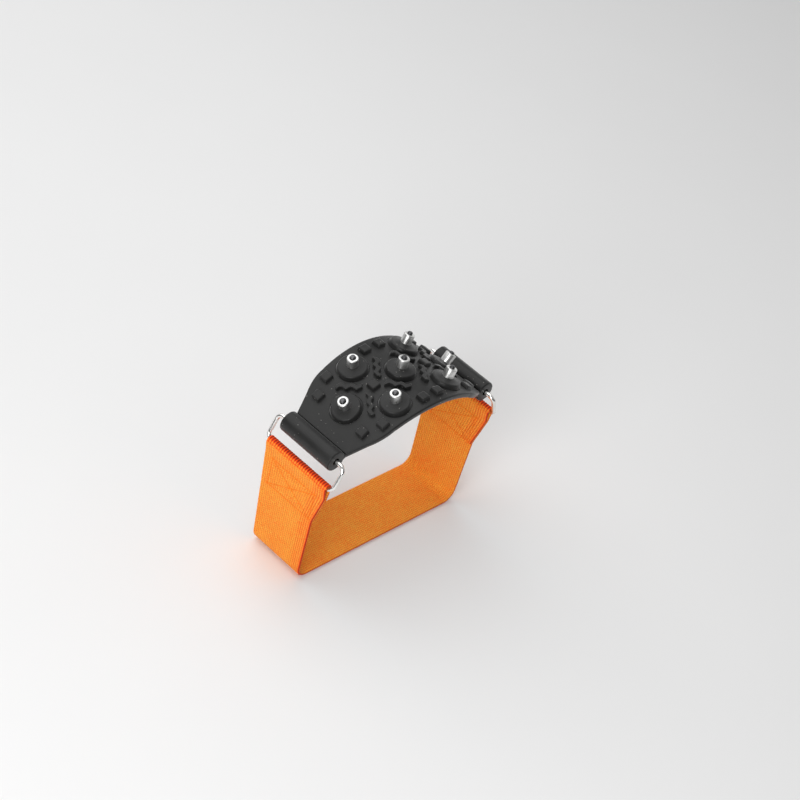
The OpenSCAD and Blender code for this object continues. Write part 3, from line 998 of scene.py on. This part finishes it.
# %% The strap's line
STRAP_T = 1.8 * MM
FOLD_T = 1.3 * MM
FOLD_GAP = 0.1 * MM
FOLD_TAPER = 7 * MM
HEM_LEN = 26 * MM
STRAP_BASE = 62.3 * MM
STRAP_CORNER = 8 * MM
GROUND_STEPS = 36
SIDE_STEPS = 16
HEM_STEPS = 34
TAPER_STEPS = 14
FOLD_STEPS = 48
fold_mid_r = WIRE_R + FOLD_GAP + FOLD_T / 2
hem_flat = HEM_LEN - FOLD_TAPER
side_dy = STRAP_BASE - bar_y
side_lean = math.asin(STRAP_T / math.hypot(side_dy, bar_z)) - math.atan2(side_dy, bar_z)
corner_y = STRAP_BASE - STRAP_CORNER * (1 - math.sin(side_lean)) / math.cos(side_lean)


def fold_point(u, v):
    """From the fold's own axes, u outwards and v up from the bar, to Y and Z at the far end."""
    return (bar_y + u * math.cos(side_lean) + v * math.sin(side_lean),
            bar_z - u * math.sin(side_lean) + v * math.cos(side_lean))


def taper(v):
    part = 1 + v / FOLD_TAPER
    return STRAP_T / 2 + (fold_mid_r - STRAP_T / 2) * part * part * (3 - 2 * part)


def half_line():
    """The far half of the strap's middle line, from the middle of the ground to the end of the hem."""
    line = [(corner_y * i / GROUND_STEPS, STRAP_T / 2) for i in range(GROUND_STEPS)]
    radius = STRAP_CORNER - STRAP_T / 2
    sweep = math.pi / 2 - side_lean
    for i in range(SIDE_STEPS + 1):
        angle = -math.pi / 2 + sweep * i / SIDE_STEPS
        line.append((corner_y + radius * math.cos(angle), STRAP_CORNER + radius * math.sin(angle)))
    low_v = -(bar_z - line[-1][1]) / math.cos(side_lean)
    for i in range(1, SIDE_STEPS):
        line.append(fold_point(STRAP_T / 2, low_v + (-HEM_LEN - low_v) * i / SIDE_STEPS))
    line += [fold_point(STRAP_T / 2, -HEM_LEN + hem_flat * i / HEM_STEPS) for i in range(HEM_STEPS)]
    for i in range(TAPER_STEPS):
        v = -FOLD_TAPER * (1 - i / TAPER_STEPS)
        line.append(fold_point(taper(v), v))
    for i in range(FOLD_STEPS + 1):
        angle = math.pi * i / FOLD_STEPS
        line.append(fold_point(fold_mid_r * math.cos(angle), fold_mid_r * math.sin(angle)))
    for i in range(1, TAPER_STEPS + 1):
        v = -FOLD_TAPER * i / TAPER_STEPS
        line.append(fold_point(-taper(v), v))
    for i in range(1, SIDE_STEPS + 1):
        line.append(fold_point(-STRAP_T / 2, -FOLD_TAPER - hem_flat * i / SIDE_STEPS))
    return line


far_half = half_line()
line = np.array([(-y, z) for y, z in reversed(far_half[1:])] + far_half)
along = np.concatenate([[0], np.cumsum(np.hypot(*np.diff(line, axis=0).T))])
tangent = np.gradient(line, axis=0)
tangent /= np.hypot(tangent[:, 0], tangent[:, 1])[:, None]
outward = np.stack([tangent[:, 1], -tangent[:, 0]], axis=1)
print("strap: %d stations, %.0f mm of webbing" % (len(line), along[-1] / MM))

# %% The strap's thickness and width along its line
STRAP_HALF = 22.5 * MM
NECK_HALF_W = 18 * MM
SMOOTH_REACH = 4


def ease(value, low, high):
    part = np.clip((value - low) / (high - low), 0, 1)
    return part * part * (3 - 2 * part)


def half_along(start):
    """Half the strap's width, drawn in evenly from the fold to the given depth, and smoothed."""
    share = np.clip((start - depth) / (start - FOLD_TAPER), 0, 1)
    half = NECK_HALF_W + (STRAP_HALF - NECK_HALF_W) * share
    kernel = np.hanning(2 * SMOOTH_REACH + 1)
    padded = np.pad(half, SMOOTH_REACH, mode="edge")
    return np.convolve(padded, kernel / kernel.sum(), mode="valid")


depth = bar_z - line[:, 1]
beyond = np.abs(line[:, 0]) - bar_y
fold_u = beyond * math.cos(side_lean) + depth * math.sin(side_lean)
fold_v = beyond * math.sin(side_lean) - depth * math.cos(side_lean)
outside = fold_u > 0
half_t = (STRAP_T + (FOLD_T - STRAP_T) * ease(fold_v, -FOLD_TAPER, 0)) / 2
toe_half = half_along(HEM_LEN)
heel_half = half_along(bar_z - STRAP_CORNER)
print("strap: %.1f to %.1f mm wide" % tuple(f(toe_half + heel_half) / MM for f in (np.min, np.max)))

# %% The strap's relief: cords, sewn rows and edges
RIB_SHARES = (0.0, 0.18, 0.5, 0.82)
RIB_CURVE = 2.2
FOLD_RIB = 0.22 * MM
FLAT_RIB = 0.05 * MM
SELVAGE_RIB = 0.2 * MM
SELVAGE_CORDS = 5
ROW_ABOVE_BAR = 0.4 * MM
ROW_REACH = 0.3 * MM
ROW_DEEP = 0.2 * MM
SEAM_W = 32 * MM
SEAM_MARGIN = 1 * MM
SEAM_DEEP = 0.1 * MM
SEAM_PULL = 0.6 * MM
SEAM_ROWS = [(0, 1), (1, 2), (2, 3), (3, 0), (0, 2), (1, 3)]
EDGE_ROUND = 0.55
EDGE_REACH = 0.9 * MM
seam_top = -FOLD_TAPER - SEAM_MARGIN
seam_low = -HEM_LEN + SEAM_MARGIN
seam_corners = [
    (-SEAM_W / 2, seam_top), (SEAM_W / 2, seam_top), (SEAM_W / 2, seam_low), (-SEAM_W / 2, seam_low),
]


def row_distance(x, v):
    """Distance of points on a folded end from the nearest sewn row."""
    nearest = np.full(len(x), 1.0)
    for a, b in SEAM_ROWS:
        (ax, av), (bx, bv) = seam_corners[a], seam_corners[b]
        length_2 = (bx - ax) ** 2 + (bv - av) ** 2
        part = np.clip(((x - ax) * (bx - ax) + (v - av) * (bv - av)) / length_2, 0, 1)
        nearest = np.minimum(nearest, np.hypot(x - ax - part * (bx - ax), v - av - part * (bv - av)))
    return nearest


def edge_droop(x, heel, toe, half):
    """How far a face falls away beside the strap's rounded edges."""
    inside = np.clip(np.minimum(x + heel, toe - x) / EDGE_REACH, 0, 1)
    return half * EDGE_ROUND * (1 - np.sqrt(np.clip(1 - (1 - inside) ** 2, 0, 1)))


# These masks shape the relief, and the skin below also uses them to paint shade.
cords = np.array([c + s for c in range(CORDS) for s in RIB_SHARES] + [CORDS])
valley = np.abs(2 * (cords % 1) - 1) ** RIB_CURVE
selvage = ease(cords, CORDS - SELVAGE_CORDS - 1, CORDS - SELVAGE_CORDS + 0.5)
on_fold = ease(fold_v, ROW_ABOVE_BAR - ROW_REACH, ROW_ABOVE_BAR + ROW_REACH)
on_top = ease(fold_v, ROW_ABOVE_BAR + 2 * ROW_REACH, fold_mid_r)
fold_row = np.exp(-((fold_v - ROW_ABOVE_BAR) / ROW_REACH) ** 2) * outside

# %% The strap's skin
INNER_COLUMNS = 56
TOE_EDGE = 0.7 * MM
# How much painted shade each kind of groove and the top of the fold get, from 0 to 1, and how much darker
# red the toe edge gets.
RIB_SHADE = 0.55
TOP_SHADE = 0.5
ROW_SHADE = 0.35
SEWN_SHADE = 0.05
SELVAGE_SHADE = 0.35
TOE_EDGE_RED = 0.6
outer_share = cords / CORDS
inner_share = np.linspace(1, 0, INNER_COLUMNS + 1)
cord_u = np.concatenate([cords, inner_share * CORDS])
points = []
groove = []
uv_of = []
for k, (heel, toe, half) in enumerate(zip(heel_half, toe_half, half_t)):
    flat = 1 - on_fold[k]
    outer_x = -heel + outer_share * (heel + toe)
    inner_x = -heel + inner_share * (heel + toe)
    rib = FLAT_RIB + (FOLD_RIB - FLAT_RIB) * on_fold[k] + SELVAGE_RIB * selvage * flat
    sewn = np.exp(-(row_distance(outer_x, fold_v[k]) / SEAM_PULL) ** 2) * outside[k]
    outer_h = half - rib * valley - edge_droop(outer_x, heel, toe, half)
    outer_h -= ROW_DEEP * fold_row[k] + SEAM_DEEP * sewn
    inner_h = -half + edge_droop(inner_x, heel, toe, half)
    xs = np.concatenate([outer_x, inner_x])
    hs = np.concatenate([outer_h, inner_h])
    ys = line[k, 0] + outward[k, 0] * hs
    zs = line[k, 1] + outward[k, 1] * hs
    points.append(np.stack([xs, ys, zs], axis=1))
    toe_edge = np.exp(-((toe - outer_x) / TOE_EDGE) ** 2)
    # Painted shade: redder in the rib valleys and over the top of the fold, in the sewn rows and seams and
    # in the selvage valleys. The toe edge also gets a darker red.
    shade_and_edge = on_fold[k] * (valley * (RIB_SHADE + (1 - RIB_SHADE) * on_top[k]) + TOP_SHADE * on_top[k])
    shade_and_edge += ROW_SHADE * fold_row[k] + SEWN_SHADE * sewn
    shade_and_edge += (SELVAGE_SHADE * valley * selvage + TOE_EDGE_RED * toe_edge) * flat
    groove.append(np.concatenate([shade_and_edge, np.zeros(len(inner_x))]))
    uv_of.append(np.stack([cord_u, np.full(len(cord_u), along[k] / MM / STITCH_STEP)], axis=1))

strap = make_object("elastic_strap", *skin(points))
mesh = strap.data
corner_vertex = np.empty(len(mesh.loops), dtype=np.int32)
mesh.loops.foreach_get("vertex_index", corner_vertex)
weave_map = mesh.uv_layers.new(name="weave")
weave_map.data.foreach_set("uv", np.concatenate(uv_of)[corner_vertex].ravel())
# The groove attribute carries that painted shade to the material.
shade_map = mesh.attributes.new("groove", "FLOAT", "POINT")
shade_map.data.foreach_set("value", np.clip(np.concatenate(groove), 0, 1))
mesh.materials.append(elastic)
smooth(strap, angle=70)
print("strap:", len(mesh.polygons), "faces")

# %% [markdown]
# ## Sewing
# Each folded end is sewn with a box and two diagonals. Geometry nodes suit stitches well: the rows
# are drawn as lines, points are spaced along them, and one small bent stitch is set on every point
# along the row's direction, so the length of a stitch is a single input.

# %% One stitch, and the tree that sews a row
VECTOR = "NodeSocketVector"
STITCH_LEN = 2.6 * MM
STITCH_REACH = 0.46
STITCH_RINGS = 6
STITCH_SIDES = 8
STITCH_TIP = 0.06
STITCH_DIP = 1.3
STITCH_WAIST = 0.6
THREAD_W = 0.55 * MM
THREAD_H = 0.22 * MM


def stitch():
    """A short bowed length of thread along X, whose ends dip into the webbing."""
    rings = []
    for i in range(STITCH_RINGS + 1):
        part = 2 * i / STITCH_RINGS - 1
        swell = math.sqrt(max(STITCH_TIP, 1 - part * part))
        wide = THREAD_W / 2 * (STITCH_WAIST + (1 - STITCH_WAIST) * swell)
        rise = THREAD_H * (1 - STITCH_DIP * part ** 4)
        rings.append([(part * STITCH_LEN * STITCH_REACH, wide * a, rise / 2 + THREAD_H / 2 * b)
                      for a, b, _ in circle(1, 0, STITCH_SIDES)])
    return skin(rings)


def make_sewing_tree():
    tree, given, result = start_tree(
        "sew_rows", ("Stitch", OBJECT, None), ("Stitch Length", FLOAT, STITCH_LEN),
        ("Face", VECTOR, (0.0, -1.0, 0.0)))
    rows = add(tree, "GeometryNodeMeshToCurve", {"Mesh": given["Geometry"]})
    spaced = add(tree, "GeometryNodeCurveToPoints", {
        "Curve": rows.outputs[0], "Length": given["Stitch Length"]}, mode="LENGTH")
    forward = add(tree, "FunctionNodeAlignRotationToVector", {
        "Vector": spaced.outputs["Tangent"]}, axis="X")
    facing = add(tree, "FunctionNodeAlignRotationToVector", {
        "Rotation": forward.outputs[0], "Vector": given["Face"]}, axis="Z", pivot_axis="X")
    sewn = set_on_points(tree, spaced.outputs["Points"], given["Stitch"], facing.outputs[0])
    paint(tree, sewn, thread, result)
    return tree


# %% Sew both ends
OUTER_FACE = 1
INNER_FACE = -1
SEAM_REST = {OUTER_FACE: 0.1 * MM, INNER_FACE: 0.0}
sewing = make_sewing_tree()
stitch_shape = make_object("stitch_shape", *stitch())
row_edges = [(2 * i, 2 * i + 1) for i in range(len(SEAM_ROWS))]


def sew(name, end):
    """Rows on both faces of a folded end, as one mesh."""
    faces = []
    for face in (OUTER_FACE, INNER_FACE):
        corners = []
        for x, v in seam_corners:
            y, z = fold_point(face * (STRAP_T - SEAM_REST[face]), v)
            corners.append((x, end * y, z))
        piece = make_object(name, [corners[i] for row in SEAM_ROWS for i in row], [], row_edges)
        run_tree(piece, sewing, {
            "Stitch": stitch_shape, "Stitch Length": STITCH_LEN, "Face": (0.0, float(end * face), 0.0)})
        faces.append(piece)
    outer = faces[0]
    with bpy.context.temp_override(active_object=outer, selected_editable_objects=faces):
        bpy.ops.object.join()
    smooth(outer, angle=60)
    print("%s: %d faces" % (name, len(outer.data.polygons)))
    return outer


near_stitches = sew("near_stitches", NEAR)
far_stitches = sew("far_stitches", FAR)
drop(stitch_shape)

# %% [markdown]
# ## Ride and replace
# Every piece rides on the body that carries it, and stands for the solids that it was made after, which
# are hidden. Each row also lists a slot, the finish meant for it, which the loop does not read.

# %% Ride and replace
STUD_NUMBERS = range(1, len(stud_places) + 1)
fittings = [
    (pad, "pad", "rubber", ["pad"]),
    (studs, "pad", "stud_steel", ["stud_%d" % i for i in STUD_NUMBERS]),
    (pins, "pad", "carbide", ["carbide_tip_%d" % i for i in STUD_NUMBERS]),
    (near_wire, "near_ring", "ring_wire", ["near_ring"]),
    (far_wire, "far_ring", "ring_wire", ["far_ring"]),
    (strap, "strap", "webbing", ["strap"]),
    (near_stitches, "strap", "thread", ["near_seam"]),
    (far_stitches, "strap", "thread", ["far_seam"]),
]
for piece, body, slot, nodes in fittings:
    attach(piece, body)
    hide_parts(*nodes)
    print("%-16s rides on %-10s for %s" % (piece.name, body, ", ".join(nodes)))

# %% [markdown]
# ## Floor and light
# The floor is plain and pale. One large soft lamp overhead and a weaker one by the camera light the
# object at a level where colours come out as written. The world is a white backdrop behind the object
# and a bright ceiling, and dim elsewhere, which gives the metal and the rubber something to reflect.

# %% Floor and lamps
FLOOR_HALF = 3.0
FLOOR_DARK = (0.86, 0.86, 0.86, 1)
FLOOR_LIGHT = (0.88, 0.88, 0.88, 1)
LAMP_AIM = (0, 0, 60 * MM)


def make_floor():
    h = FLOOR_HALF
    floor = make_object("floor", [(-h, -h, 0), (h, -h, 0), (h, h, 0), (-h, h, 0)], [(0, 1, 2, 3)])
    material, tree, shader = start_material("pale_floor", Roughness=0.9)
    patches = use_grain(tree, grain_per_metre=40.0, patches_per_metre=3.0)[1]
    color = mix_colors(tree, spread(tree, patches, *WIDE_SPAN), FLOOR_DARK, FLOOR_LIGHT)
    wire(tree, shader.inputs["Base Color"], color)
    floor.data.materials.append(material)
    floor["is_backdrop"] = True


def make_lamp(name, place, size, power):
    data = bpy.data.lights.new(name, "AREA")
    data.shape = "DISK"
    data.size = size
    data.energy = power
    lamp = bpy.data.objects.new(name, data)
    lamp.location = place
    aim = Vector(LAMP_AIM) - Vector(place)
    lamp.rotation_euler = aim.to_track_quat("-Z", "Y").to_euler()
    scene.collection.objects.link(lamp)
    print("lamp %s: %.1f m wide, %.1f W" % (name, size, power))


make_floor()
make_lamp("overhead", place=(-0.56, -0.1, 1.16), size=1.8, power=11.0)
make_lamp("by_camera", place=(0.4, -1.1, 0.6), size=0.8, power=9.6)

# %% World
BACKDROP = (-math.sin(VIEW_AZIMUTH), math.cos(VIEW_AZIMUTH), 0.0)
# Each range is (from low, from high, to low, to high).
CEILING_BY_HEIGHT = (0.0, 0.7, 0.15, 0.5)
CEILING_BY_SIDE = (-0.8, 0.1, 0.3, 1.0)
BACKDROP_BY_SIDE = (0.1, 0.7, 0.0, 1.0)
BACKDROP_BY_HEIGHT = (0.15, 0.6, 1.0, 0.4)
MATT_OR_GLOSSY = (0.0, 1.0, 0.85, 1.0)


def make_world():
    world = bpy.data.worlds.new("studio")
    world.use_nodes = True
    scene.world = world
    tree = world.node_tree
    sky = tree.nodes["Background"]
    rays = add(tree, "ShaderNodeLightPath").outputs
    seen = calc(tree, "MAXIMUM", rays["Is Camera Ray"], rays["Is Transmission Ray"])
    direction = add(tree, "ShaderNodeTexCoord").outputs["Generated"]
    height = add(tree, "ShaderNodeSeparateXYZ", {0: direction}).outputs["Z"]
    turned = add(tree, "ShaderNodeVectorMath", {0: direction, 1: BACKDROP}, operation="DOT_PRODUCT")
    facing = turned.outputs["Value"]
    ceiling = calc(tree, "MULTIPLY", spread(tree, height, *CEILING_BY_HEIGHT),
                   spread(tree, facing, *CEILING_BY_SIDE))
    backdrop = calc(tree, "MULTIPLY", spread(tree, facing, *BACKDROP_BY_SIDE),
                    spread(tree, height, *BACKDROP_BY_HEIGHT))
    glow = calc(tree, "MAXIMUM", ceiling, backdrop)
    lit = calc(tree, "MULTIPLY", glow, spread(tree, rays["Is Glossy Ray"], *MATT_OR_GLOSSY))
    sky.inputs["Color"].default_value = (1, 1, 1, 1)
    wire(tree, sky.inputs["Strength"], calc(tree, "MAXIMUM", lit, seen))


make_world()
scene.view_settings.view_transform = "Standard"

# %% [markdown]
# ## Sizes
# Dressing the part must not change its size, so the box of the solids, kept from the start, and the
# box of the dressed part are written down side by side.

# %% Sizes, and the end
visual_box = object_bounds()
for name, (low, high) in (("solids", cad_box), ("dressed", visual_box)):
    print(name, "size in mm:", [round((b - a) / MM, 1) for a, b in zip(low, high)])
